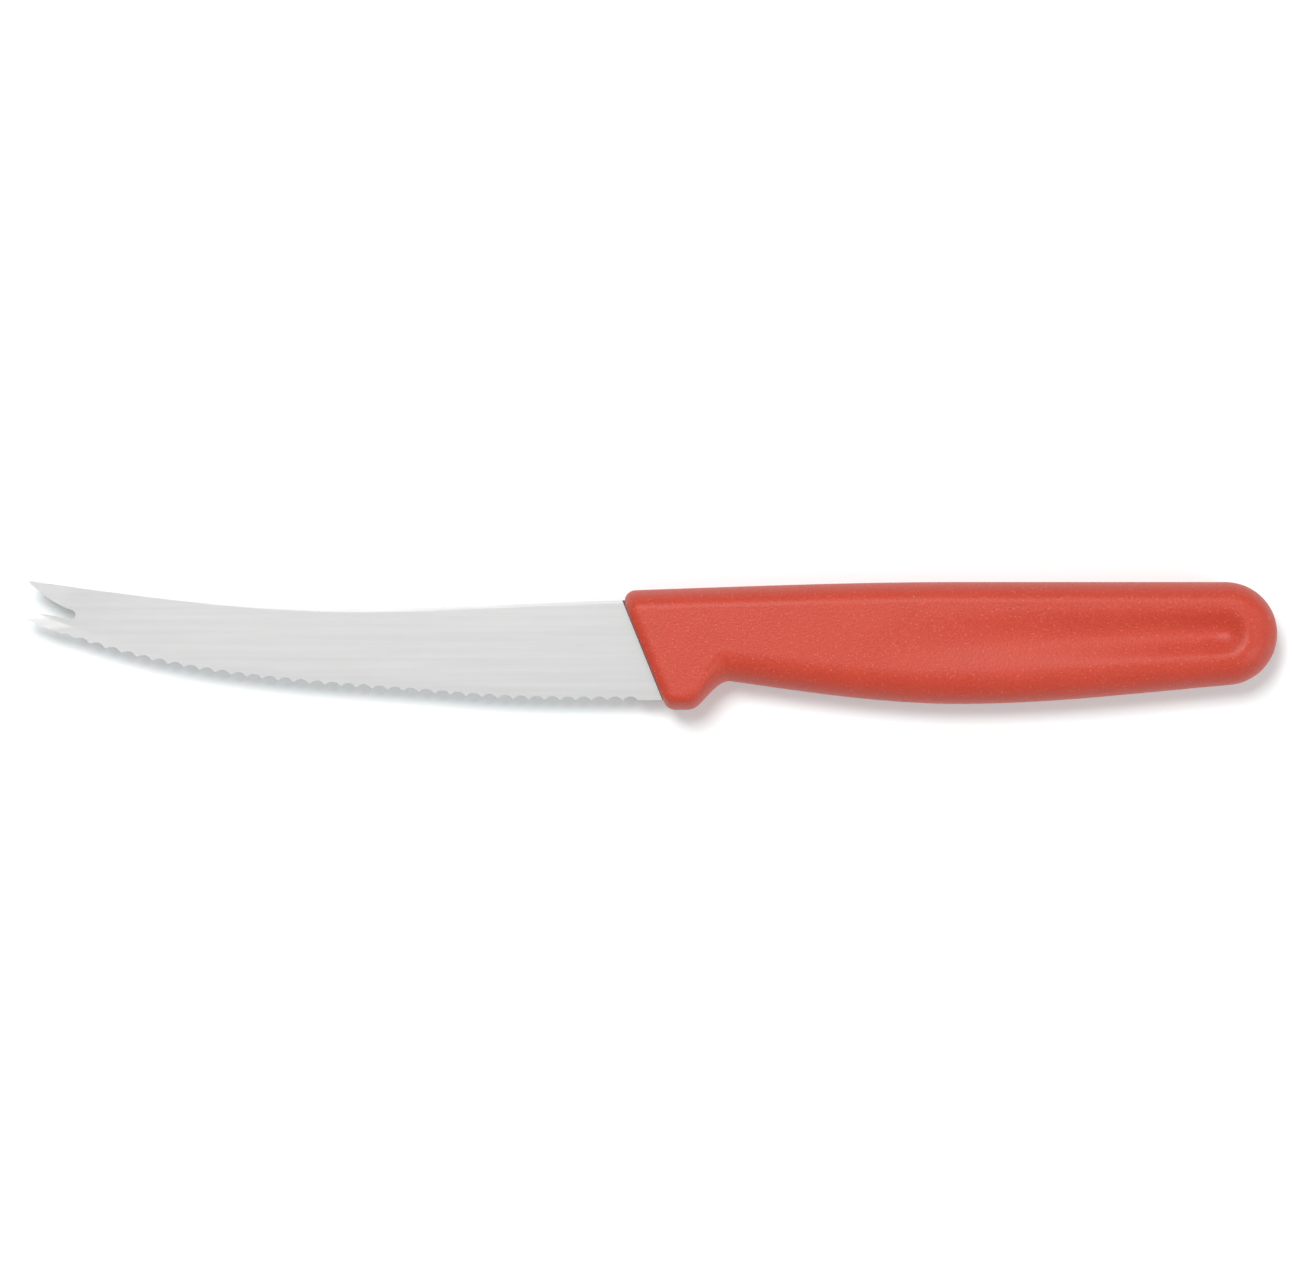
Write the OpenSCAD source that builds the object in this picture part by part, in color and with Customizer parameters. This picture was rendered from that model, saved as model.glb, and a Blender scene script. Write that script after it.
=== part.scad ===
// Tomato knife: a stamped, ground blade with a forked tip and a wavy edge, moulded into a one-piece handle.
// The knife lies on the flat of its handle. The tip points to -X, the spine to +Y and +Z is up.
// All curves are drawn from the point where the spine meets the handle, and the model is then
// moved so that its origin is under the middle of its outline, on the surface it lies on.

/* [Blade] */
// Length from the handle at the spine to the end of the lower prong
blade_reach = 105.5; // [90:0.1:125]
// Thickness of the steel sheet
sheet = 1.3; // [0.9:0.1:2]
// Depth of the blade from spine to edge at the heel
heel_depth = 17.5; // [15:0.1:19]
// How far the spine dips below a straight line
spine_dip = 1.55; // [0.5:0.05:3]
// Distance from the handle to the lowest point of the dip
spine_dip_at = 46.6; // [35:0.1:60]
// How far the spine rises above the handle's end of it at the tip
tip_rise = 4.1; // [2.5:0.1:6]
// Upward sweep of the spine at the tip, in degrees
tip_sweep = 8; // [4:0.5:14]
// Distance from the handle to where the edge starts its sweep
edge_sweep_at = 29.2; // [20:0.1:40]
// Rise of the edge from the heel to the start of its sweep
edge_sweep_rise = 0.9; // [0.4:0.1:1.5]
// Slope of the edge where its sweep starts, in degrees
edge_sweep_slope = 5.2; // [3:0.1:8]
// Slope of the edge at the tip, in degrees
edge_tip_slope = 24; // [18:1:30]
// Height of the tip from the spine to the lower edge
tip_height = 7.1; // [6.6:0.1:9]

/* [Grind] */
// Strip along the spine that keeps the full sheet thickness
spine_land = 0.5; // [0.5:0.1:2]
// Height of the bevel above the edge
bevel_height = 1.9; // [1:0.1:3]
// Thickness of the blade at the top of the bevel
bevel_thick = 0.38; // [0.3:0.02:0.86]
// Thickness of the edge itself
edge_thick = 0.2; // [0.1:0.05:0.35]
// Thickness of the prongs, where the grind runs out
prong_thick = 0.8; // [0.6:0.05:0.9]
// Length over which the grind runs out towards the tip
run_out = 9; // [5:0.5:14]

/* [Wavy edge] */
// Distance from tooth to tooth
tooth_pitch = 2.75; // [2:0.05:4]
// Depth of a scallop next to the heel
scallop_depth = 0.76; // [0.4:0.02:0.9]
// Depth of a scallop next to the tip
tip_scallop_depth = 0.66; // [0.3:0.02:0.8]
// Radius of the wheel that grinds the scallops
wheel_r = 4; // [3:0.1:5]
// Tilt of the wheel against the blade's side, in degrees
wheel_tilt = 17; // [14:1:22]
// Plain edge between the handle and the first tooth
plain_heel = 4.4; // [2:0.05:8]
// Plain edge between the last scallop and the tip
plain_tip = 5.95; // [5:0.05:14]

/* [Fork] */
// How far the upper prong stops short of the lower one
prong_step = 1.4; // [0.5:0.1:3]
// Radius of the upper prong's end
prong_tip_r = 0.55; // [0.35:0.05:0.7]
// Radius of the slot's closed end
slot_r = 0.93; // [0.7:0.01:1.1]
// Length of the slot from the lower prong's end to the centre of its closed end
slot_length = 8.5; // [7:0.1:11]
// Depth of the slot's closed end below the spine's rise at the tip
slot_drop = 6.65; // [6.2:0.05:7]
// Height of the lower prong at its end
prong_end = 1.45; // [1:0.05:2]
// Slant of the lower prong's end
prong_end_slant = 0.85; // [0.3:0.05:1.2]

/* [Tang] */
// Depth to which the full blade reaches into the handle
root_depth = 3.4; // [2:0.1:3.6]
// Length of the tang, from the handle's front at the spine
tang_length = 72; // [50:1:90]
// Width of the tang
tang_width = 8.5; // [7:0.1:10]
// Depth of the tang's upper side below the spine
tang_drop = 3.2; // [2.5:0.1:4]
// Radius of the tang's corners
tang_corner_r = 2; // [1:0.1:3]
// Radius of the keying holes
key_r = 2.2; // [1.5:0.1:2.8]
// Distance from the handle's front to the first keying hole
key_at = 24; // [15:1:30]
// Distance from keying hole to keying hole
key_pitch = 19; // [12:1:24]

/* [Handle] */
// Length of the handle, from the blade's spine to the butt
handle_length = 114.7; // [105:0.5:125]
// Thickness of the handle
handle_thick = 13; // [11:0.1:16]
// Slant of the handle's front end, in degrees
front_slant = 22; // [15:1:26]
// Height of the handle's front above the spine
collar_rise = 1.8; // [1.4:0.1:3]
// Radius of the upper front corner
collar_r = 2; // [1:0.1:2.4]
// Height of the handle's back above the spine
back_rise = 3.23; // [3:0.01:5]
// Distance from the blade to where the back runs level
back_level_at = 59.2; // [40:1:70]
// Height of the handle at its belly
belly_height = 21.4; // [20:0.1:24]
// Distance from the blade to the belly
belly_at = 58.9; // [50:0.1:68]
// Radius of the round butt
butt_r = 9.05; // [8:0.05:9.4]
// Slope of the underside where it meets the butt, in degrees
butt_slope = 5; // [2:0.5:7]

/* [Guard] */
// How far the guard reaches below the edge
guard_drop = 1.7; // [1:0.1:2.5]
// Radius of the guard's front corner
guard_front_r = 2; // [1:0.1:2.5]
// Radius of the guard's rear corner
guard_rear_r = 3.2; // [2.4:0.1:3.6]
// Flat length under the guard
guard_flat = 2; // [1:0.1:3]
// Slope of the guard's rear side, in degrees
guard_slope = 47; // [38:1:55]
// Depth of the finger notch above the guard's lowest point
notch_depth = 5; // [4:0.1:6]
// Distance from the blade to the finger notch
notch_at = 19; // [17.5:0.1:21]
// Slope of the underside behind the finger notch, in degrees
notch_slope = 8.2; // [5:0.2:11]

/* [Rounding and thumb scoop] */
// Width of the rounding along the back
back_round = 3.6; // [3:0.1:5]
// Width of the rounding along the underside
belly_round = 5.6; // [4:0.1:6]
// Width of the rounding around the guard
guard_round = 2.8; // [2:0.1:3.5]
// Length of the rounding at the butt
butt_round = 6.4; // [4:0.1:7.5]
// Length of the rounding at the front end
front_round = 2.2; // [1:0.1:2.5]
// How much thinner each side is at the front end
front_ease = 1.5; // [0.5:0.1:2]
// Depth of the thumb scoop in each side
scoop_depth = 2; // [0.5:0.05:2]
// Distance from the blade to where the scoop starts
scoop_start = 40; // [30:1:55]
// Distance from the scoop's closed end to the butt
scoop_margin = 5.2; // [4.5:0.1:8]
// Half width of the scoop where it starts
scoop_start_w = 6; // [4:0.1:6.2]
// Half width of the scoop at its closed end
scoop_end_w = 4.8; // [3:0.1:5]
// Depth of the scoop's centre line below the back where it starts
scoop_start_y = 11; // [10:0.1:12]
// Depth of the scoop's centre line below the back at its closed end
scoop_end_y = 9; // [8.5:0.1:9.5]

/* [Hidden] */

steel = [0.78, 0.78, 0.78];
red_plastic = [0.81, 0.34, 0.27];

mid = handle_thick / 2;
tip_x = -blade_reach;
heel_x = heel_depth * tan(front_slant);
guard_y = -heel_depth - guard_drop;
belly_y = back_rise - belly_height;
butt_c = [handle_length - butt_r, back_rise - butt_r];
eps = 0.01;

// A point between a and b, and a smooth step from 0 to 1
function mix(a, b, t) = a + (b - a) * t;
function ease(t) = let(c = min(1, max(0, t))) c * c * (3 - 2 * c);

// Height at x of the cubic that leaves (x0, y0) with slope m0 and reaches (x1, y1) with slope m1
function sweep(x, x0, y0, m0, x1, y1, m1) =
    let(h = x1 - x0, t = (x - x0) / h, u = 1 - t)
    u * u * (1 + 2 * t) * y0 + t * u * u * h * m0 + t * t * (3 - 2 * t) * y1 - t * t * u * h * m1;

// Point on the curve from p to q that leaves towards a and arrives from b
function curve(p, a, b, q, t) =
    let(u = 1 - t) u * u * u * p + 3 * u * u * t * a + 3 * u * t * t * b + t * t * t * q;
function curve_points(p, a, b, q, n) = [for (i = [0:n]) curve(p, a, b, q, i / n)];
function arc_points(c, r, from, to, n) = [for (i = [0:n]) c + r * direction(mix(from, to, i / n))];
function direction(angle) = [cos(angle), sin(angle)];

// Arc of radius r that rounds the corner b between the lines to a and to c
function corner(a, b, c, r, n = 5) =
    let(u = (a - b) / norm(a - b), v = (c - b) / norm(c - b),
        half = acos(u * v) / 2,
        centre = b + (u + v) / norm(u + v) * r / sin(half),
        from = b + u * r / tan(half) - centre,
        to = b + v * r / tan(half) - centre,
        start = atan2(from.y, from.x),
        turn = (atan2(to.y, to.x) - start + 540) % 360 - 180)
    arc_points(centre, r, start, start + turn, n);

// Side outlines of the blade: height of the spine and of the unserrated edge at x
function spine_y(x) =
    x > -spine_dip_at
    ? sweep(min(x, 0), -spine_dip_at, -spine_dip, 0, 0, 0, tan(1.5))
    : sweep(max(x, tip_x), tip_x, tip_rise, -tan(tip_sweep), -spine_dip_at, -spine_dip, 0);
function edge_y(x) =
    let(sweep_y = edge_sweep_rise - heel_depth, slope = -tan(edge_sweep_slope))
    x > -edge_sweep_at
    ? sweep(min(x, heel_x), -edge_sweep_at, sweep_y, slope, heel_x, -heel_depth, 0)
    : sweep(max(x, tip_x), tip_x, tip_rise - tip_height, -tan(edge_tip_slope), -edge_sweep_at, sweep_y, slope);

// Fork: the upper prong's round end, the slot's closed end and the sides between them
prong_c_x = tip_x + prong_step + prong_tip_r;
prong_touch_x = prong_c_x + prong_tip_r * sin(tip_sweep);
prong_c = [prong_c_x, spine_y(prong_touch_x) - prong_tip_r * cos(tip_sweep)];
slot_c = [tip_x + slot_length, tip_rise - slot_drop];
prong_under = prong_c + prong_tip_r * direction(229);
slot_upper = slot_c + slot_r * direction(75);
slot_lower = slot_c + slot_r * direction(-110);
end_lower = [tip_x + prong_end_slant, edge_y(tip_x + prong_end_slant)];
end_upper = [tip_x, end_lower.y + prong_end];

upper_prong = concat(
    arc_points(prong_c, prong_tip_r, 90 - tip_sweep, 90, 1),
    arc_points(prong_c, prong_tip_r, 110, 229, 6),
    curve_points(prong_under, prong_under + 2.4 * direction(-40), slot_upper + 2.8 * direction(165), slot_upper, 9));
lower_prong = concat(
    curve_points(slot_lower, slot_lower + 2 * direction(158), end_upper + 4 * direction(-7), end_upper, 9),
    [end_lower]);

// Tang: it leaves the slanted root of the blade with a round inner corner on each side
tang_low = -tang_drop - tang_width;
function root_point(y) = [root_depth - y * tan(front_slant), y];
tang_outline = concat(
    [root_point(-heel_depth)],
    corner(root_point(-heel_depth), root_point(tang_low), [tang_length, tang_low], tang_corner_r),
    corner([0, tang_low], [tang_length, tang_low], [tang_length, 0], tang_width / 2 - eps),
    corner([tang_length, tang_low], [tang_length, -tang_drop], [0, -tang_drop], tang_width / 2 - eps),
    corner([tang_length, -tang_drop], root_point(-tang_drop), root_point(0), min(tang_corner_r, tang_drop / 2)),
    [root_point(0)]);

spine_steps = 30;
edge_steps = 36;
blade_outline = concat(
    [for (i = [0:spine_steps - 1]) let(x = prong_touch_x * i / spine_steps) [x, spine_y(x)]],
    upper_prong,
    arc_points(slot_c, slot_r, 60, -95, 9),
    lower_prong,
    [for (i = [1:edge_steps]) let(x = mix(end_lower.x, heel_x, i / edge_steps)) [x, edge_y(x)]],
    tang_outline);

// Solid whose sections, one a station, are closed rings of the same number of points
module loft(rings, close_start = true, close_end = true) {
    n = len(rings[0]);
    last = len(rings) - 1;
    sides = [for (i = [0:last - 1], j = [0:n - 1]) let(a = i * n + j, b = i * n + (j + 1) % n)
        each [[a, a + n, b], [b, a + n, b + n]]];
    caps = concat(
        close_start ? [[for (j = [0:n - 1]) j]] : [],
        close_end ? [[for (j = [n - 1:-1:0]) last * n + j]] : []);
    polyhedron([for (ring = rings) each ring], concat(sides, caps), convexity = 6);
}

// Grind: a wedge from the spine land to the bevel and from the bevel to the edge, wider than the blade.
// The outline then trims it. Towards the tip it runs out to the thickness of the prongs.
grind_over = 3;
grind_steps = 30;
function grind_ring(x) =
    let(out = ease((tip_x + plain_tip + run_out / 2 - x) / run_out),
        bevel = mix(bevel_thick, prong_thick, out) / 2,
        lip = mix(edge_thick, prong_thick - eps, out) / 2,
        top = spine_y(x),
        low = edge_y(x),
        side = [[top + grind_over, sheet / 2], [top - spine_land, sheet / 2],
            [low + bevel_height, bevel], [low, lip], [low - grind_over, lip - eps]])
    concat(
        [for (p = side) [x, p.x, mid + p.y]],
        [for (i = [4:-1:0]) [x, side[i].x, mid - side[i].y]]);

module grind() {
    from = tip_x - grind_over;
    to = heel_x + root_depth + eps;
    loft([for (i = [0:grind_steps]) grind_ring(mix(from, to, i / grind_steps))]);
}

// Blade before its scallops are ground: the ground blade, and the tang at full thickness with its holes
module blade_blank() {
    difference() {
        union() {
            intersection() {
                translate([0, 0, mid - sheet]) linear_extrude(2 * sheet) polygon(blade_outline);
                grind();
            }
            translate([0, 0, mid - sheet / 2]) linear_extrude(sheet) polygon(tang_plate);
        }
        for (x = [key_at:key_pitch:tang_length - 2 * key_r])
            translate([x, -tang_drop - tang_width / 2, mid - sheet])
                cylinder(r = key_r, h = 2 * sheet, $fn = 48);
    }
}
tang_plate = concat([for (i = [1:len(tang_outline) - 2]) tang_outline[i]]);

// One scallop: the wheel's rim runs across the edge, from the lower side of the blade
function scallop_x(i) = heel_x - plain_heel - (i + 0.5) * tooth_pitch;
scallops = floor((heel_x - plain_heel - tip_x - plain_tip) / tooth_pitch);
module scallop(x, depth) {
    slope = atan((edge_y(x + eps) - edge_y(x - eps)) / (2 * eps));
    translate([x, edge_y(x), mid + edge_thick / 2])
        rotate([0, 0, slope])
            translate([0, depth, 0])
                rotate([-wheel_tilt, 0, 0])
                    translate([0, 1, -wheel_r])
                        rotate([90, 0, 0])
                            cylinder(r = wheel_r, h = 9, center = true, $fn = 96);
}

module blade() {
    color(steel)
        place()
            difference() {
                blade_blank();
                for (i = [0:scallops - 1])
                    scallop(scallop_x(i), mix(scallop_depth, tip_scallop_depth, i / scallops));
            }
}

// Handle outline: height of the back and of the underside at x
function back_y(x) =
    x < back_level_at ? sweep(x, collar_c.x, collar_rise, tan(2), back_level_at, back_rise, 0)
    : x < butt_c.x ? back_rise
    : butt_c.y + sqrt(max(0, pow(butt_r, 2) - pow(x - butt_c.x, 2)));
butt_touch = butt_c + butt_r * direction(butt_slope - 90);
function under_y(x) =
    x < belly_at ? sweep(x, notch_at, notch_y, -tan(notch_slope), belly_at, belly_y, 0)
    : x < butt_touch.x ? sweep(x, belly_at, belly_y, 0, butt_touch.x, butt_touch.y, tan(butt_slope))
    : butt_c.y - sqrt(max(0, pow(butt_r, 2) - pow(x - butt_c.x, 2)));

// Front end: a slanted line from collar to guard with a round corner at each end
front_in = direction(front_slant);
front_up = direction(front_slant + 90);
collar_c = [(collar_r - (collar_rise - collar_r) * front_in.y) / front_in.x, collar_rise - collar_r];
guard_front_c = [(guard_front_r - (guard_y + guard_front_r) * front_in.y) / front_in.x, guard_y + guard_front_r];
guard_rear_c = [guard_front_c.x + guard_flat, guard_y + guard_rear_r];
guard_end = guard_rear_c + guard_rear_r * direction(guard_slope - 90);
notch_y = guard_y + notch_depth;
notch_point = [notch_at, notch_y];

// Points where a line parallel to the front end, d behind it, leaves through the back and the guard
collar_arc = collar_r * (1 + front_in.y);
guard_arc = guard_front_r * (1 - front_in.y);
function back_point(d) =
    d < collar_arc
    ? collar_c + (d - collar_r) * front_in + sqrt(max(0, pow(collar_r, 2) - pow(collar_r - d, 2))) * front_up
    : let(x = (d - collar_rise * front_in.y) / front_in.x) [x, back_y(x)];
function guard_point(d) =
    d < guard_arc
    ? guard_front_c + (d - guard_front_r) * front_in
        - sqrt(max(0, pow(guard_front_r, 2) - pow(guard_front_r - d, 2))) * front_up
    : [(d - guard_y * front_in.y) / front_in.x, guard_y];

// Stations of the loft, each a point on the underside and a point on the back.
// They start parallel to the slanted front and turn upright behind the finger notch.
upright_at = 32;
function station(p) =
    let(turn = ease((p.x - guard_rear_c.x) / (upright_at - guard_rear_c.x)),
        x = p.x - (collar_rise - p.y) * tan(front_slant * (1 - turn)))
    [p, [x, back_y(x)]];
front_d = [0, 0.03, 0.12, 0.3, 0.55, 0.85, 1.25, 1.7, 2.2];
front_stations = [for (s = front_d) [guard_point(s), back_point(s)]];
guard_stations = [for (p = concat(
    arc_points(guard_rear_c, guard_rear_r, -90, guard_slope - 90, 5),
    [for (i = [1:8]) curve(guard_end, guard_end + 3.2 * direction(guard_slope),
        notch_point - 1.9 * direction(-notch_slope), notch_point, i / 8)])) station(p)];
body_steps = 28;
body_stations = [for (i = [1:body_steps]) let(x = mix(notch_at, butt_c.x - 2, i / body_steps))
    station([x, under_y(x)])];
butt_steps = 9;
butt_stations = [for (i = [0:butt_steps - 1]) let(x = butt_c.x + (butt_r - eps) * sin(90 * i / (butt_steps - 1)))
    [[x, under_y(x)], [x, back_y(x)]]];
stations = concat(front_stations, guard_stations, body_stations, butt_stations);

// Half thickness of the handle away from its roundings, eased at the front and round at the butt
function bulk(x, d) =
    let(front = max(0, 1 - d / front_round), butt = max(0, (x - handle_length + butt_round) / butt_round))
    (mid - front_ease * (1 - sqrt(1 - front * front))) * sqrt(max(0, 1 - butt * butt));

// Depth of the thumb scoop at a point of the side
scoop_end = handle_length - scoop_margin - scoop_end_w;
function scoop(p) =
    let(t = min(1, max(0, (p.x - scoop_start) / (scoop_end - scoop_start))),
        w = mix(scoop_start_w, scoop_end_w, t),
        centre = back_rise - mix(scoop_start_y, scoop_end_y, t),
        away = norm([max(0, p.x - scoop_end), p.y - centre]) / w)
    away < 1 ? scoop_depth * pow(t, 1.3) * pow(cos(90 * away), 2) : 0;

// Ring of one station: round along the underside and the back, with the scoop between them
round_steps = 6;
side_steps = 10;
function rounding(t) = [1 - cos(90 * t), sin(90 * t)];
function handle_ring(s) =
    let(low = s[0], high = s[1], span = norm(high - low),
        d = low * front_in,
        full = bulk(low.x > butt_c.x ? low.x : (low.x + high.x) / 2, d),
        near = mix(guard_round, belly_round, ease((low.x - guard_end.x) / (notch_at - guard_end.x))),
        fit = min(1, span / (near + back_round) * 0.98),
        low_w = near * fit, high_w = back_round * fit,
        half = concat(
            [for (i = [0:round_steps]) let(r = rounding(i / round_steps)) [r.x * low_w, r.y]],
            [for (i = [1:side_steps - 1]) [mix(low_w, span - high_w, i / side_steps), 1]],
            [for (i = [round_steps:-1:0]) let(r = rounding(i / round_steps)) [span - r.x * high_w, r.y]]),
        last = len(half) - 1,
        side = [for (h = half) let(p = low + (high - low) * h.x / span) [p.x, p.y, full * h.y - scoop(p)]])
    concat(
        [for (p = side) [p.x, p.y, mid + p.z]],
        [for (i = [last - 1:-1:1]) [side[i].x, side[i].y, mid - side[i].z]]);

module handle_form() {
    loft([for (s = stations) handle_ring(s)]);
}

module handle() {
    color(red_plastic)
        place()
            difference() {
                handle_form();
                blade_blank();
            }
}

// Origin under the middle of the knife's outline
outline_top = max(back_rise, prong_c.y + prong_tip_r);
outline_low = min(guard_y, belly_y);
module place() {
    translate([(blade_reach - handle_length) / 2, -(outline_top + outline_low) / 2, 0]) children();
}

blade();
handle();
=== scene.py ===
# %% [markdown]
# # A tomato knife with a moulded handle
# The knife lies on its flat and is seen from straight above. The blade comes from the construction model
# as it is, because its grind, its wavy edge and its fork are exact there. The handle is a soft moulded form,
# so this lesson works it out again as a finer surface. Then both pieces get their finish.

# %% Load the frame
import math
import bpy
import numpy as np
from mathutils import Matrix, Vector


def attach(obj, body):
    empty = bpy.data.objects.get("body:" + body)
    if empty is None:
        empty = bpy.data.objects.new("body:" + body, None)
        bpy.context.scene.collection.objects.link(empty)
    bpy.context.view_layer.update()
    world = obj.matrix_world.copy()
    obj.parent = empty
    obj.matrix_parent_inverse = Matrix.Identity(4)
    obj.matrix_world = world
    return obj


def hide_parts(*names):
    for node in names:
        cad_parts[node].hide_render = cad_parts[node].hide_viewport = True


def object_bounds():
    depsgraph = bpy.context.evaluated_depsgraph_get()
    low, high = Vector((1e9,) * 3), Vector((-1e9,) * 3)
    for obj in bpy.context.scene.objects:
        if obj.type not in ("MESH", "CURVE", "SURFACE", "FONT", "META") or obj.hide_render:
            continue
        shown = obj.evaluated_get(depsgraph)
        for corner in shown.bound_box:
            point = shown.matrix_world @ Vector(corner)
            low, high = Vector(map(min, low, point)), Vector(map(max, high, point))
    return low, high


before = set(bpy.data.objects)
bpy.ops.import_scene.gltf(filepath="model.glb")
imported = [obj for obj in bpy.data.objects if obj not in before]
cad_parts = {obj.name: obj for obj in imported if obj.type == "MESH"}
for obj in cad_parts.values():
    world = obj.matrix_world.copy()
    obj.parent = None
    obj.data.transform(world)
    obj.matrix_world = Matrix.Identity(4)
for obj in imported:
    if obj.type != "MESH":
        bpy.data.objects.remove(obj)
cad_box = [list(map(float, corner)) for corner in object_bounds()]
print("construction box in metres:", cad_box)

# %% [markdown]
# ## The sizes of the handle
# The handle is described by a few lengths in millimetres, taken from the point where the spine of the blade
# meets the plastic. X runs towards the butt and Y towards the back of the knife. The same values drive the
# construction model, so the surface made here lies where the solid is. The frame's origin is under the
# middle of the whole outline. The lengths of both pieces give the way there along X, and the box of the
# construction model gives it along Y.

# %% Name the sizes
MM = 0.001
BLADE_REACH = 105.5
HANDLE_LENGTH, THICK = 114.7, 13.0
HEEL_DEPTH, GUARD_DROP = 17.5, 1.7
FRONT_SLANT = math.radians(22)
COLLAR_RISE, COLLAR_R = 1.8, 2.0
BACK_RISE, BACK_LEVEL_AT, BACK_SLOPE = 3.23, 59.2, math.radians(2)
BELLY_HEIGHT, BELLY_AT = 21.4, 58.9
BUTT_R, BUTT_SLOPE = 9.05, math.radians(5)
GUARD_FRONT_R, GUARD_REAR_R, GUARD_FLAT = 2.0, 3.2, 2.0
GUARD_SLOPE, GUARD_PULL = math.radians(47), 3.2
NOTCH_DEPTH, NOTCH_AT = 5.0, 19.0
NOTCH_SLOPE, NOTCH_PULL = math.radians(8.2), 1.9
print("handle length and thickness, mm:", HANDLE_LENGTH, THICK)

# %% Work out the places
MID = THICK / 2
GUARD_Y = -HEEL_DEPTH - GUARD_DROP
NOTCH_Y = GUARD_Y + NOTCH_DEPTH
BELLY_Y = BACK_RISE - BELLY_HEIGHT
BUTT_C = np.array([HANDLE_LENGTH - BUTT_R, BACK_RISE - BUTT_R])
shift_x = (BLADE_REACH - HANDLE_LENGTH) / 2
shift_y = cad_box[0][1] / MM - GUARD_Y
print("from the spine's end to the origin, mm:", round(shift_x, 3), round(shift_y, 3))

# %% [markdown]
# ## Curves
# The outline of a moulded handle is made of arcs and easy sweeps. It could be traced with many points, but a
# few formulas keep it smooth and keep every size in sight: a smooth step, a cubic with a slope at each end, a
# curve with pull points, and an arc. All of them take whole arrays.

# %% Curve helpers
def ease(t):
    """Smooth step: three t squared less two t cubed, held between 0 and 1."""
    t = np.clip(t, 0.0, 1.0)
    return t * t * (3 - 2 * t)


def sweep(x, x0, y0, m0, x1, y1, m1):
    """Cubic through (x0, y0) with slope m0 and (x1, y1) with slope m1."""
    h = x1 - x0
    t = (x - x0) / h
    u = 1 - t
    return u * u * (1 + 2 * t) * y0 + t * u * u * h * m0 + t * t * (3 - 2 * t) * y1 - t * t * u * h * m1


def pulled_curve(start, start_pull, end_pull, end, t):
    """Cubic curve from start to end that leans towards its two pull points."""
    t = t[:, None]
    u = 1 - t
    return u ** 3 * start + 3 * u ** 2 * t * start_pull + 3 * u * t ** 2 * end_pull + t ** 3 * end


def direction(angle):
    """Unit arrow at an angle: cosine and sine side by side."""
    return np.stack([np.cos(angle), np.sin(angle)], axis=-1)


def arc(centre, radius, start, end, count):
    """Points on a circle from one angle to another: the centre plus the radius times an arrow."""
    return centre + radius * direction(np.linspace(start, end, count))


print("smooth step at a quarter:", ease(0.25))

# %% [markdown]
# ## The outline of the handle
# Seen from above the handle starts with a slanted front end between the collar and the guard. Behind the
# guard the underside climbs into the finger notch, falls to the belly and rises gently to a round butt. The
# back is a long, almost straight crown. Two rails describe this best, one along the back and one along the
# underside, because every section then hangs between two known points.

# %% Corners of the front end, the guard and the butt
front_in = direction(FRONT_SLANT)
front_up = direction(FRONT_SLANT + math.pi / 2)
collar_y = COLLAR_RISE - COLLAR_R
collar_c = np.array([(COLLAR_R - collar_y * front_in[1]) / front_in[0], collar_y])
guard_c_y = GUARD_Y + GUARD_FRONT_R
guard_c = np.array([(GUARD_FRONT_R - guard_c_y * front_in[1]) / front_in[0], guard_c_y])
guard_rear_c = np.array([guard_c[0] + GUARD_FLAT, GUARD_Y + GUARD_REAR_R])
guard_end = guard_rear_c + GUARD_REAR_R * direction(GUARD_SLOPE - math.pi / 2)
notch = np.array([NOTCH_AT, NOTCH_Y])
butt_touch = BUTT_C + BUTT_R * direction(BUTT_SLOPE - math.pi / 2)
print("the belly runs into the butt at, mm:", butt_touch.round(2))

# %% Back and underside
def butt_half(x):
    """Half height of the round butt at x: the circle's height."""
    return np.sqrt(np.maximum(0.0, BUTT_R ** 2 - (x - BUTT_C[0]) ** 2))


def back_y(x):
    """Height of the back: a crown from the collar, a level line, then the butt's circle."""
    crown = sweep(x, collar_c[0], COLLAR_RISE, math.tan(BACK_SLOPE), BACK_LEVEL_AT, BACK_RISE, 0.0)
    level = np.where(x < BUTT_C[0], BACK_RISE, BUTT_C[1] + butt_half(x))
    return np.where(x < BACK_LEVEL_AT, crown, level)


def under_y(x):
    """Height of the underside behind the notch: down to the belly, up to the butt, then its circle."""
    down = sweep(x, NOTCH_AT, NOTCH_Y, -math.tan(NOTCH_SLOPE), BELLY_AT, BELLY_Y, 0.0)
    up = sweep(x, BELLY_AT, BELLY_Y, 0.0, butt_touch[0], butt_touch[1], math.tan(BUTT_SLOPE))
    return np.where(x < BELLY_AT, down, np.where(x < butt_touch[0], up, BUTT_C[1] - butt_half(x)))


print("height of the handle at the belly, mm:", round(float(back_y(BELLY_AT) - under_y(BELLY_AT)), 2))

# %% [markdown]
# ## Stations
# A station is a pair of points, one on each rail. Upright stations alone would cut across the slanted front
# end, so the first ones lie parallel to it and slide round its two corners. Behind the guard they turn
# upright, and at the butt they close up to a pole. They stand close together where the form turns quickly.

# %% Slanted and upright pairs
UPRIGHT_AT = 32.0


def corner_half(r, d):
    """Half chord of a corner's circle, d behind the front end."""
    return np.sqrt(np.maximum(0.0, r ** 2 - (r - d) ** 2))


def front_stations(d):
    """Points where a line parallel to the front end, d behind it, leaves through the guard and the back."""
    d = d[:, None]
    round_low = guard_c + (d - GUARD_FRONT_R) * front_in - corner_half(GUARD_FRONT_R, d) * front_up
    flat_x = (d - GUARD_Y * front_in[1]) / front_in[0]
    flat_low = np.hstack([flat_x, np.full_like(flat_x, GUARD_Y)])
    low = np.where(d < GUARD_FRONT_R * (1 - front_in[1]), round_low, flat_low)
    high = collar_c + (d - COLLAR_R) * front_in + corner_half(COLLAR_R, d) * front_up
    return low, high


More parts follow.
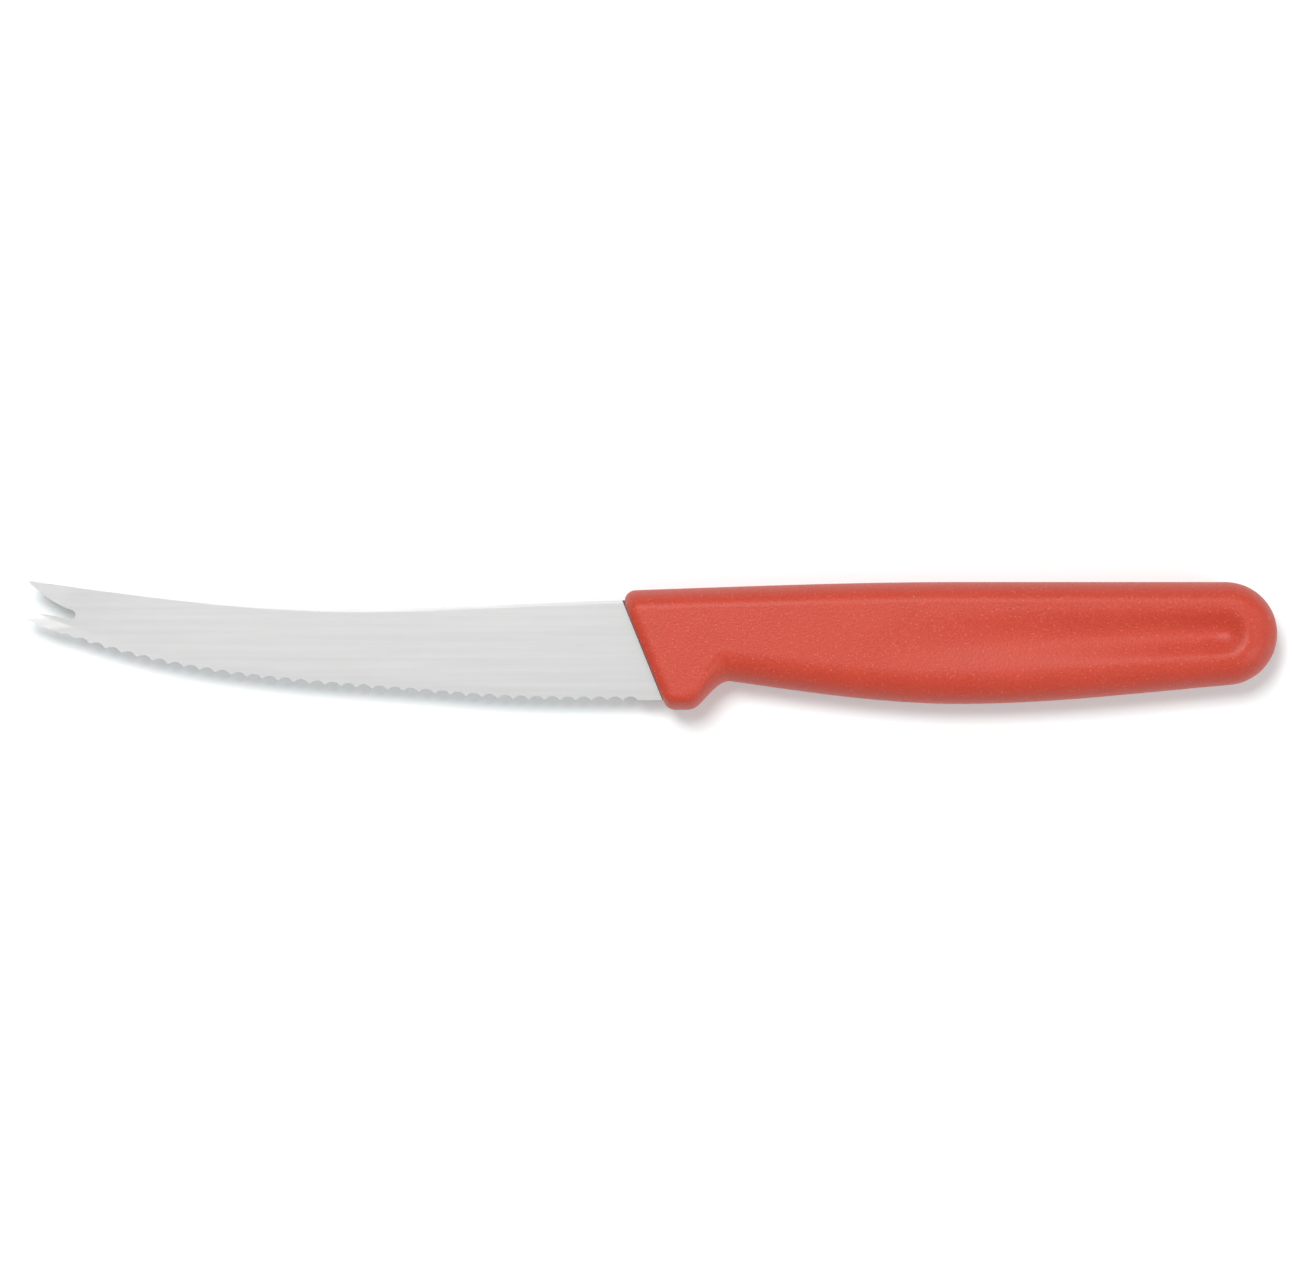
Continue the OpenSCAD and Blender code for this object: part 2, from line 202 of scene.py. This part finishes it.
def upright(low):
    """Partner on the back for each point of the underside: the slant fades out behind the notch."""
    turn = ease((low[:, 0] - guard_rear_c[0]) / (UPRIGHT_AT - guard_rear_c[0]))
    x = low[:, 0] - (COLLAR_RISE - low[:, 1]) * np.tan(FRONT_SLANT * (1 - turn))
    return np.stack([x, back_y(x)], axis=-1)


print("the stations stand upright from, mm:", UPRIGHT_AT)

# %% Walk along the rails
FRONT_DEPTHS = np.array([0, 0.01, 0.04, 0.09, 0.16, 0.25, 0.36, 0.5,
                         0.66, 0.84, 1.04, 1.25, 1.5, 1.8, 2.1, 2.4])
GUARD_STEPS, NOTCH_STEPS, BODY_STEPS, BUTT_STEPS = 14, 28, 180, 40
BODY_END = BUTT_C[0] - 2
POLE_GAP = 0.03

front_low, front_high = front_stations(FRONT_DEPTHS)
guard_low = arc(guard_rear_c, GUARD_REAR_R, -math.pi / 2, GUARD_SLOPE - math.pi / 2, GUARD_STEPS)
notch_low = pulled_curve(guard_end, guard_end + GUARD_PULL * direction(GUARD_SLOPE),
                         notch - NOTCH_PULL * direction(-NOTCH_SLOPE), notch,
                         np.linspace(0, 1, NOTCH_STEPS)[1:])
body_x = np.linspace(NOTCH_AT, BODY_END, BODY_STEPS)[1:]
rear_low = np.vstack([guard_low, notch_low, np.stack([body_x, under_y(body_x)], axis=-1)])
butt_x = BUTT_C[0] + (BUTT_R - POLE_GAP) * np.sin(np.linspace(0, math.pi / 2, BUTT_STEPS))
low = np.vstack([front_low, rear_low, np.stack([butt_x, under_y(butt_x)], axis=-1)])
high = np.vstack([front_high, upright(rear_low), np.stack([butt_x, back_y(butt_x)], axis=-1)])
print("stations:", len(low))

# %% [markdown]
# ## Sections
# Each section is flat in the middle and rounded to the back and to the underside with a quarter of an
# ellipse. The whole section thins towards the front end and closes like an egg at the butt. The thumb scoop
# is a shallow trough that deepens backwards and ends in a round wall. It could be sculpted, but written as a
# height taken off the side it blends into the roundings with no extra modelling.

# %% Thickness and scoop
BUTT_ROUND, FRONT_ROUND, FRONT_EASE = 6.4, 2.2, 1.5
SCOOP_DEPTH, SCOOP_GROWTH = 2.0, 1.3
SCOOP_START, SCOOP_MARGIN = 40.0, 5.2
SCOOP_START_W, SCOOP_END_W = 6.0, 4.8
SCOOP_START_Y, SCOOP_END_Y = 11.0, 9.0
SCOOP_END = HANDLE_LENGTH - SCOOP_MARGIN - SCOOP_END_W


def bulk(x, d):
    """Half thickness: full, less an ellipse at the front end, times an ellipse at the butt."""
    front = np.clip(1 - d / FRONT_ROUND, 0, 1)
    butt = np.clip((x - HANDLE_LENGTH + BUTT_ROUND) / BUTT_ROUND, 0, 1)
    return (MID - FRONT_EASE * (1 - np.sqrt(1 - front ** 2))) * np.sqrt(np.maximum(0, 1 - butt ** 2))


def scoop(x, y):
    """Depth of the scoop: a squared cosine across a centre line, growing along it, with a round end."""
    t = np.clip((x - SCOOP_START) / (SCOOP_END - SCOOP_START), 0, 1)
    width = SCOOP_START_W + (SCOOP_END_W - SCOOP_START_W) * t
    centre = BACK_RISE - (SCOOP_START_Y + (SCOOP_END_Y - SCOOP_START_Y) * t)
    away = np.clip(np.hypot(np.maximum(0, x - SCOOP_END), y - centre) / width, 0, 1)
    return SCOOP_DEPTH * t ** SCOOP_GROWTH * np.cos(math.pi / 2 * away) ** 2


print("the scoop runs from and to, mm:", SCOOP_START, round(SCOOP_END + SCOOP_END_W, 1))

# %% Rings round the sections
BACK_ROUND, BELLY_ROUND, GUARD_ROUND = 3.6, 5.6, 2.8
MOST_ROUND = 0.98
ROUND_STEPS, SIDE_STEPS = 14, 46


def rounding_widths(low, span):
    """Width of the rounding at the underside and at the back, both made narrower where a section is short."""
    past_guard = ease((low[:, 0] - guard_end[0]) / (NOTCH_AT - guard_end[0]))
    under = GUARD_ROUND + (BELLY_ROUND - GUARD_ROUND) * past_guard
    fit = np.minimum(1, span / (under + BACK_ROUND) * MOST_ROUND)
    return under * fit, BACK_ROUND * fit


def handle_grid(low, high):
    """Closed rings, one a station: out along the upper side and home along the lower side."""
    span = np.linalg.norm(high - low, axis=1)
    x_mid = np.where(low[:, 0] > BUTT_C[0], low[:, 0], (low[:, 0] + high[:, 0]) / 2)
    full = bulk(x_mid, low @ front_in)
    low_w, high_w = rounding_widths(low, span)
    angle = np.linspace(0, math.pi / 2, ROUND_STEPS + 1)
    inner = np.linspace(0, 1, SIDE_STEPS + 1)[1:-1]
    along = np.hstack([
        low_w[:, None] * (1 - np.cos(angle)),
        low_w[:, None] + (span - high_w - low_w)[:, None] * inner,
        span[:, None] - high_w[:, None] * (1 - np.cos(angle[::-1]))])
    height = np.hstack([np.sin(angle), np.ones(SIDE_STEPS - 1), np.sin(angle[::-1])])
    point = low[:, None, :] + (high - low)[:, None, :] * (along / span[:, None])[..., None]
    lift = full[:, None] * height - scoop(point[..., 0], point[..., 1])
    upper = np.dstack([point, MID + lift])
    lower = np.dstack([point, MID - lift])[:, -2:0:-1]
    return np.concatenate([upper, lower], axis=1)


grid = handle_grid(low, high)
print("rings and points a ring:", grid.shape[:2])

# %% [markdown]
# ## From grid to mesh
# Rings of equal length join into quads. The first ring gets a flat lid, through which the blade comes out,
# and the last one closes in a fan to a single point. A loop over faces would be slow, so whole index arrays
# are worked out at once, and their order makes every face look outwards.

# %% Mesh of rings
def to_frame(points):
    """Millimetres from the spine's end to metres from the frame's origin."""
    return (points + np.array([shift_x, shift_y, 0.0])) * MM


def ring_mesh(name, rings, pole):
    """Quads between neighbouring rings, a fan from the last ring to the pole and a lid on the first ring."""
    count, around = rings.shape[:2]
    verts = np.vstack([rings.reshape(-1, 3), pole[None]])
    i, j = np.meshgrid(np.arange(count - 1), np.arange(around), indexing="ij")
    a = i * around + j
    b = i * around + (j + 1) % around
    quads = np.stack([a, a + around, b + around, b], axis=-1).reshape(-1, 4)
    last = (count - 1) * around + np.arange(around)
    fan = np.stack([last, np.full(around, len(verts) - 1), np.roll(last, -1)], axis=-1)
    faces = quads.tolist() + fan.tolist() + [list(range(around))]
    mesh = bpy.data.meshes.new(name)
    mesh.from_pydata(to_frame(verts).tolist(), [], faces)
    mesh.polygons.foreach_set("use_smooth", np.arange(len(faces)) < len(faces) - 1)
    mesh.update()
    obj = bpy.data.objects.new(name, mesh)
    bpy.context.scene.collection.objects.link(obj)
    return obj


print("first point of the first ring in the frame:", to_frame(grid[0, 0]).round(5))

# %% Build the handle
pole = np.array([HANDLE_LENGTH - POLE_GAP / 2, BUTT_C[1], MID])
handle = ring_mesh("moulded_handle", grid, pole)
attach(handle, "root")
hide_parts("handle")
print("handle faces:", len(handle.data.polygons))

# %% [markdown]
# ## Tools for the finishes
# A finish could be painted on a picture, but then it needs an unwrapped surface and blurs up close. Noise
# worked out from the place in the piece stays sharp and needs neither. A few short functions make the nodes,
# and each takes plain values and the outputs of other nodes alike.

# %% Node helpers
def feed(tree, socket, value):
    """Set a plain value on a socket, or link the output of another node to it."""
    if isinstance(value, bpy.types.NodeSocket):
        tree.links.new(value, socket)
    else:
        socket.default_value = value


def new_node(tree, kind, **values):
    """Node with values fed to its named sockets."""
    node = tree.nodes.new(kind)
    for label, value in values.items():
        feed(tree, node.inputs[label], value)
    return node


def noise(tree, vector, scale, detail=3.0, rough=0.5):
    """Cloudy noise over a place, with small detail on top."""
    node = new_node(tree, "ShaderNodeTexNoise", Vector=vector, Scale=scale, Detail=detail, Roughness=rough)
    return node.outputs["Fac"]


def math_node(tree, kind, a, b):
    """One operation on two values, named by its kind, such as ADD or MULTIPLY."""
    node = tree.nodes.new("ShaderNodeMath")
    node.operation = kind
    feed(tree, node.inputs[0], a)
    feed(tree, node.inputs[1], b)
    return node.outputs[0]


def ramp(tree, value, low, high, to_low=0.0, to_high=1.0):
    """Straight ramp: low becomes to_low, high becomes to_high, and the ends hold."""
    node = tree.nodes.new("ShaderNodeMapRange")
    for label, number in (("From Min", low), ("From Max", high), ("To Min", to_low), ("To Max", to_high)):
        node.inputs[label].default_value = number
    feed(tree, node.inputs["Value"], value)
    return node.outputs["Result"]


def mix_colour(tree, fac, a, b):
    """Colour between a and b: a where the factor is 0, b where it is 1."""
    node = tree.nodes.new("ShaderNodeMix")
    node.data_type = "RGBA"
    for label, value in (("A", a), ("B", b)):
        socket = next(s for s in node.inputs if s.name == label and s.type == "RGBA")
        feed(tree, socket, (*value, 1) if isinstance(value, tuple) else value)
    feed(tree, node.inputs["Factor"], fac)
    return next(s for s in node.outputs if s.type == "RGBA")


def bump(tree, height, distance, strength):
    """Normals tilted as if the surface rose by the height times the distance."""
    node = new_node(tree, "ShaderNodeBump", Height=height, Distance=distance, Strength=strength)
    return node.outputs["Normal"]


print("node helpers are ready")

# %% [markdown]
# ## Grain and streaks
# The moulding has a fine grain with pale flecks, which are painted glints, and the steel has long streaks
# from a grinding belt. Each effect is a shader node group with named sockets, so that another material can
# take it with its own values. The groups only give masks and heights, and the shader stays in each material.

# %% Group helpers
def new_group(name, inputs, outputs):
    """Empty shader group with float inputs, given as name and default, and float outputs."""
    group = bpy.data.node_groups.new(name, "ShaderNodeTree")
    for label, value in inputs:
        socket = group.interface.new_socket(label, in_out="INPUT", socket_type="NodeSocketFloat")
        socket.default_value = value
    for label in outputs:
        group.interface.new_socket(label, in_out="OUTPUT", socket_type="NodeSocketFloat")
    return group, group.nodes.new("NodeGroupInput"), group.nodes.new("NodeGroupOutput")


def use_group(tree, group, **values):
    """The group placed in a material, with its own values on the named inputs."""
    node = tree.nodes.new("ShaderNodeGroup")
    node.node_tree = group
    for label, value in values.items():
        node.inputs[label].default_value = value
    return node


print("group helpers are ready")

# %% Fine grain and painted glints
GRAIN_SIZE, CLOUD_SHARE, CLOUD_SIZE = 2600.0, 0.35, 130.0
# The flecks are painted glints: pale dots that stand in for light caught by the grain.
GLINT_CELLS = 0.85
GLINT_RARE, GLINT_SURE = 0.70, 0.98
GLINT_EDGE, GLINT_CORE = 0.42, 0.16


def grain_and_glint_group():
    """Grain: small noise plus a share of a larger one. Glints: painted glints as round dots in the cells
    drawn highest.
    """
    group, inp, out = new_group("fine_grain_and_glints", [("Size", GRAIN_SIZE), ("Share", CLOUD_SHARE)],
                                ["Grain", "Glints"])
    coord = group.nodes.new("ShaderNodeTexCoord").outputs["Object"]
    small = noise(group, coord, inp.outputs["Size"])
    clouds = math_node(group, "MULTIPLY", noise(group, coord, CLOUD_SIZE), inp.outputs["Share"])
    feed(group, out.inputs["Grain"], math_node(group, "ADD", clouds, small))
    cell_size = math_node(group, "MULTIPLY", inp.outputs["Size"], GLINT_CELLS)
    cells = new_node(group, "ShaderNodeTexVoronoi", Vector=coord, Scale=cell_size)
    drawn = new_node(group, "ShaderNodeSeparateColor", Color=cells.outputs["Color"])
    chosen = ramp(group, drawn.outputs["Red"], GLINT_RARE, GLINT_SURE)
    dot = ramp(group, cells.outputs["Distance"], GLINT_EDGE, GLINT_CORE)
    feed(group, out.inputs["Glints"], math_node(group, "MULTIPLY", chosen, dot))
    return group


grain = grain_and_glint_group()
print("group:", grain.name)

# %% Long streaks
STREAK_SIZE, STREAK_SQUEEZE = 1.0, 0.02
FINE_LINES, BROAD_LINES = 5200.0, 900.0


def streak_group():
    """Streaks: a noise squeezed along X, so that each grain becomes a long fine line."""
    group, inp, out = new_group("long_streaks", [("Size", STREAK_SIZE), ("Length", STREAK_SQUEEZE)],
                                ["Fine", "Broad"])
    coord = group.nodes.new("ShaderNodeTexCoord").outputs["Object"]
    split = new_node(group, "ShaderNodeSeparateXYZ", Vector=coord)
    join = group.nodes.new("ShaderNodeCombineXYZ")
    for axis, factor in (("X", "Length"), ("Y", "Size"), ("Z", "Size")):
        feed(group, join.inputs[axis], math_node(group, "MULTIPLY", split.outputs[axis], inp.outputs[factor]))
    feed(group, out.inputs["Fine"], noise(group, join.outputs[0], FINE_LINES, 4.0, 0.6))
    feed(group, out.inputs["Broad"], noise(group, join.outputs[0], BROAD_LINES, 3.0, 0.6))
    return group


streaks = streak_group()
print("group:", streaks.name)

# %% [markdown]
# ## Red plastic
# The moulding is matte, with the fine grain of a spark-eroded mould: an orange red that varies a little, with
# tiny pale flecks painted on as glints, standing in for light caught by the grain. Real grain would need
# millions of faces, so the grain mixes two reds, the painted glints lie on top, and both lift the surface
# through a bump.
# A moderate roughness leaves a little sheen on the roundings.

# %% Plastic material
# The pale red paints the glints; the deep and light reds are the plastic's own grain.
DEEP_RED, LIGHT_RED, GLINT_RED = (0.42, 0.035, 0.0155), (0.505, 0.052, 0.025), (0.80, 0.22, 0.13)
GLINT_COVER, GLINT_LIFT = 0.38, 0.6
PLASTIC_SMOOTH, PLASTIC_DULL, PLASTIC_GLOSS = 0.41, 0.55, 0.35
GRAIN_HEIGHT, GRAIN_STRENGTH = 0.00012, 0.6


def plastic_material():
    """Two reds mixed by the grain, painted glints as pale dots over them, and both as a low bump."""
    material = bpy.data.materials.new("red_grained_plastic")
    material.use_nodes = True
    tree = material.node_tree
    shader = tree.nodes["Principled BSDF"]
    node = use_group(tree, grain, Size=GRAIN_SIZE, Share=CLOUD_SHARE)
    base = mix_colour(tree, ramp(tree, node.outputs["Grain"], 0.45, 0.95), DEEP_RED, LIGHT_RED)
    glint_cover = math_node(tree, "MULTIPLY", node.outputs["Glints"], GLINT_COVER)
    feed(tree, shader.inputs["Base Color"], mix_colour(tree, glint_cover, base, GLINT_RED))
    rough = ramp(tree, node.outputs["Grain"], 0.4, 1.0, PLASTIC_SMOOTH, PLASTIC_DULL)
    feed(tree, shader.inputs["Roughness"], rough)
    lift = math_node(tree, "MULTIPLY", node.outputs["Glints"], GLINT_LIFT)
    height = math_node(tree, "ADD", node.outputs["Grain"], lift)
    feed(tree, shader.inputs["Normal"], bump(tree, height, GRAIN_HEIGHT, GRAIN_STRENGTH))
    shader.inputs["Specular IOR Level"].default_value = PLASTIC_GLOSS
    return material


handle.data.materials.append(plastic_material())
print("handle material:", handle.data.materials[0].name)

# %% [markdown]
# ## Satin steel
# The blade is ground with a fine belt along its length, which leaves long hair lines and a soft reflection.
# Lines cut into the mesh would be far too many, so the streaks vary the grey and the roughness and lift a
# very low bump. Where the steel enters the plastic there is a thin dark line of shade, painted into the
# steel's colour by a mask of the distance from the slanted front end. The blade keeps its own mesh and only
# changes its finish.

# %% Steel material
# The seam colour is painted shade, a dark strip in the corner where the steel meets the plastic.
STEEL_DARK, STEEL_LIGHT, SEAM_SHADE_COLOUR = (0.565, 0.565, 0.565), (0.585, 0.585, 0.582), (0.10, 0.07, 0.065)
STEEL_SMOOTH, STEEL_DULL = 0.20, 0.23
STREAK_HEIGHT, STREAK_STRENGTH = 0.00001, 0.06
SEAM_SHADE_FROM, SEAM_SHADE_FULL = 0.22, 0.10


def painted_seam_shade_mask(tree):
    """Mask of the painted shade at the seam: how far a point lies along the arrow that points into the front
    end.
    """
    coord = tree.nodes.new("ShaderNodeTexCoord").outputs["Object"]
    dot = tree.nodes.new("ShaderNodeVectorMath")
    dot.operation = "DOT_PRODUCT"
    dot.inputs[1].default_value = (float(front_in[0]), float(front_in[1]), 0)
    feed(tree, dot.inputs[0], coord)
    face = float(np.array([shift_x, shift_y]) @ front_in) * MM
    return ramp(tree, dot.outputs["Value"], face - SEAM_SHADE_FROM * MM, face - SEAM_SHADE_FULL * MM)


def steel_material():
    """Two greys mixed by the broad streaks, painted shade along the seam, and the fine streaks as roughness
    and bump.
    """
    material = bpy.data.materials.new("satin_steel")
    material.use_nodes = True
    tree = material.node_tree
    shader = tree.nodes["Principled BSDF"]
    node = use_group(tree, streaks, Size=STREAK_SIZE, Length=STREAK_SQUEEZE)
    steel = mix_colour(tree, ramp(tree, node.outputs["Broad"], 0.35, 0.65), STEEL_DARK, STEEL_LIGHT)
    feed(tree, shader.inputs["Base Color"], mix_colour(tree, painted_seam_shade_mask(tree), steel, SEAM_SHADE_COLOUR))
    rough = ramp(tree, node.outputs["Fine"], 0.3, 0.7, STEEL_SMOOTH, STEEL_DULL)
    feed(tree, shader.inputs["Roughness"], rough)
    feed(tree, shader.inputs["Normal"], bump(tree, node.outputs["Fine"], STREAK_HEIGHT, STREAK_STRENGTH))
    shader.inputs["Metallic"].default_value = 1.0
    return material


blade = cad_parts["blade"]
blade.data.materials.clear()
blade.data.materials.append(steel_material())
print("blade material:", blade.data.materials[0].name)

# %% [markdown]
# ## Floor
# The knife lies on a plain white surface that shows its shadow. More lamps would make the floor white, but
# the knife too bright. So the floor is a pale grey and adds a little light of its own, which only the camera
# and reflections see.

# %% Build the floor
FLOOR_HALF, FLOOR_GLOW = 1.5, 0.10
FLOOR_COLOUR, FLOOR_ROUGH, FLOOR_GLOSS = (0.835, 0.87, 0.874, 1), 0.9, 0.1
WHITE = (1, 1, 1, 1)


def seen_directly(tree):
    """1 for rays from the camera and for those that a gloss or a clear body sends on, 0 for the light."""
    path = tree.nodes.new("ShaderNodeLightPath")
    seen = math_node(tree, "MAXIMUM", path.outputs["Is Camera Ray"], path.outputs["Is Glossy Ray"])
    return math_node(tree, "MAXIMUM", seen, path.outputs["Is Transmission Ray"])


def floor_material():
    """Pale matte colour, plus a glow that only the camera and reflections see."""
    material = bpy.data.materials.new("white_floor")
    material.use_nodes = True
    tree = material.node_tree
    shader = tree.nodes["Principled BSDF"]
    shader.inputs["Base Color"].default_value = FLOOR_COLOUR
    shader.inputs["Roughness"].default_value = FLOOR_ROUGH
    shader.inputs["Specular IOR Level"].default_value = FLOOR_GLOSS
    shader.inputs["Emission Color"].default_value = WHITE
    feed(tree, shader.inputs["Emission Strength"], ramp(tree, seen_directly(tree), 0, 1, 0, FLOOR_GLOW))
    return material


floor_mesh = bpy.data.meshes.new("floor")
corners = [(-FLOOR_HALF, -FLOOR_HALF, 0), (FLOOR_HALF, -FLOOR_HALF, 0),
           (FLOOR_HALF, FLOOR_HALF, 0), (-FLOOR_HALF, FLOOR_HALF, 0)]
floor_mesh.from_pydata(corners, [], [(0, 1, 2, 3)])
floor = bpy.data.objects.new("floor", floor_mesh)
bpy.context.scene.collection.objects.link(floor)
floor.data.materials.append(floor_material())
print("floor width in metres:", 2 * FLOOR_HALF)

# %% [markdown]
# ## Light
# In the photograph the shadow is soft and lies close under the edges, so the main light is a soft one, high
# above the back of the knife. A weaker lamp from the right and an even white world fill the rest. The world
# lights the knife weakly, but the camera and reflections see it as full white, which is what makes the steel
# look bright.

# %% Lamps and world
WORLD_LIGHT, WORLD_SEEN = 0.32, 1.0


def soft_lamp(name, place, size, power):
    """Square lamp that looks at the middle of the knife."""
    data = bpy.data.lights.new(name, "AREA")
    data.size = size
    data.energy = power
    lamp = bpy.data.objects.new(name, data)
    lamp.location = place
    lamp.rotation_euler = (-Vector(place)).to_track_quat("-Z", "Y").to_euler()
    bpy.context.scene.collection.objects.link(lamp)
    return lamp


key = soft_lamp("key", place=(-0.20, 0.38, 1.0), size=0.40, power=10.2)
right = soft_lamp("right", place=(0.85, -0.40, 0.75), size=0.6, power=5.5)
world = bpy.data.worlds.new("studio")
bpy.context.scene.world = world
world.use_nodes = True
sky = world.node_tree
background = sky.nodes["Background"]
background.inputs["Color"].default_value = WHITE
feed(sky, background.inputs["Strength"], ramp(sky, seen_directly(sky), 0, 1, WORLD_LIGHT, WORLD_SEEN))
print("lamps:", key.name, right.name)

# %% [markdown]
# ## Camera
# The photograph looks straight down and shows no lean of the sides, so the camera hangs a metre above the
# knife on a long lens. Its place follows from where the spine meets the plastic in the photograph, in pixels,
# and from the scale in pixels a millimetre.

# %% Hang the camera
PHOTO_WIDTH, PIXELS_PER_MM = 1302, 5.7
CENTRE_U, CENTRE_V = 651, 636
SPINE_U, SPINE_V = 623.2, 600.4
DISTANCE, SENSOR, FARTHEST = 1.0, 36, 10
view_width = PHOTO_WIDTH / PIXELS_PER_MM * MM
camera_x = ((CENTRE_U - SPINE_U) / PIXELS_PER_MM + shift_x) * MM
camera_y = (-(CENTRE_V - SPINE_V) / PIXELS_PER_MM + shift_y) * MM
camera_data = bpy.data.cameras.new("camera")
camera_data.sensor_width = SENSOR
camera_data.lens = SENSOR * DISTANCE / view_width
camera_data.clip_end = FARTHEST
camera = bpy.data.objects.new("camera", camera_data)
camera.location = (camera_x, camera_y, DISTANCE + MID * MM)
bpy.context.scene.collection.objects.link(camera)
bpy.context.scene.camera = camera
bpy.context.scene.view_settings.view_transform = "Standard"
print("lens in millimetres:", round(camera_data.lens, 1))
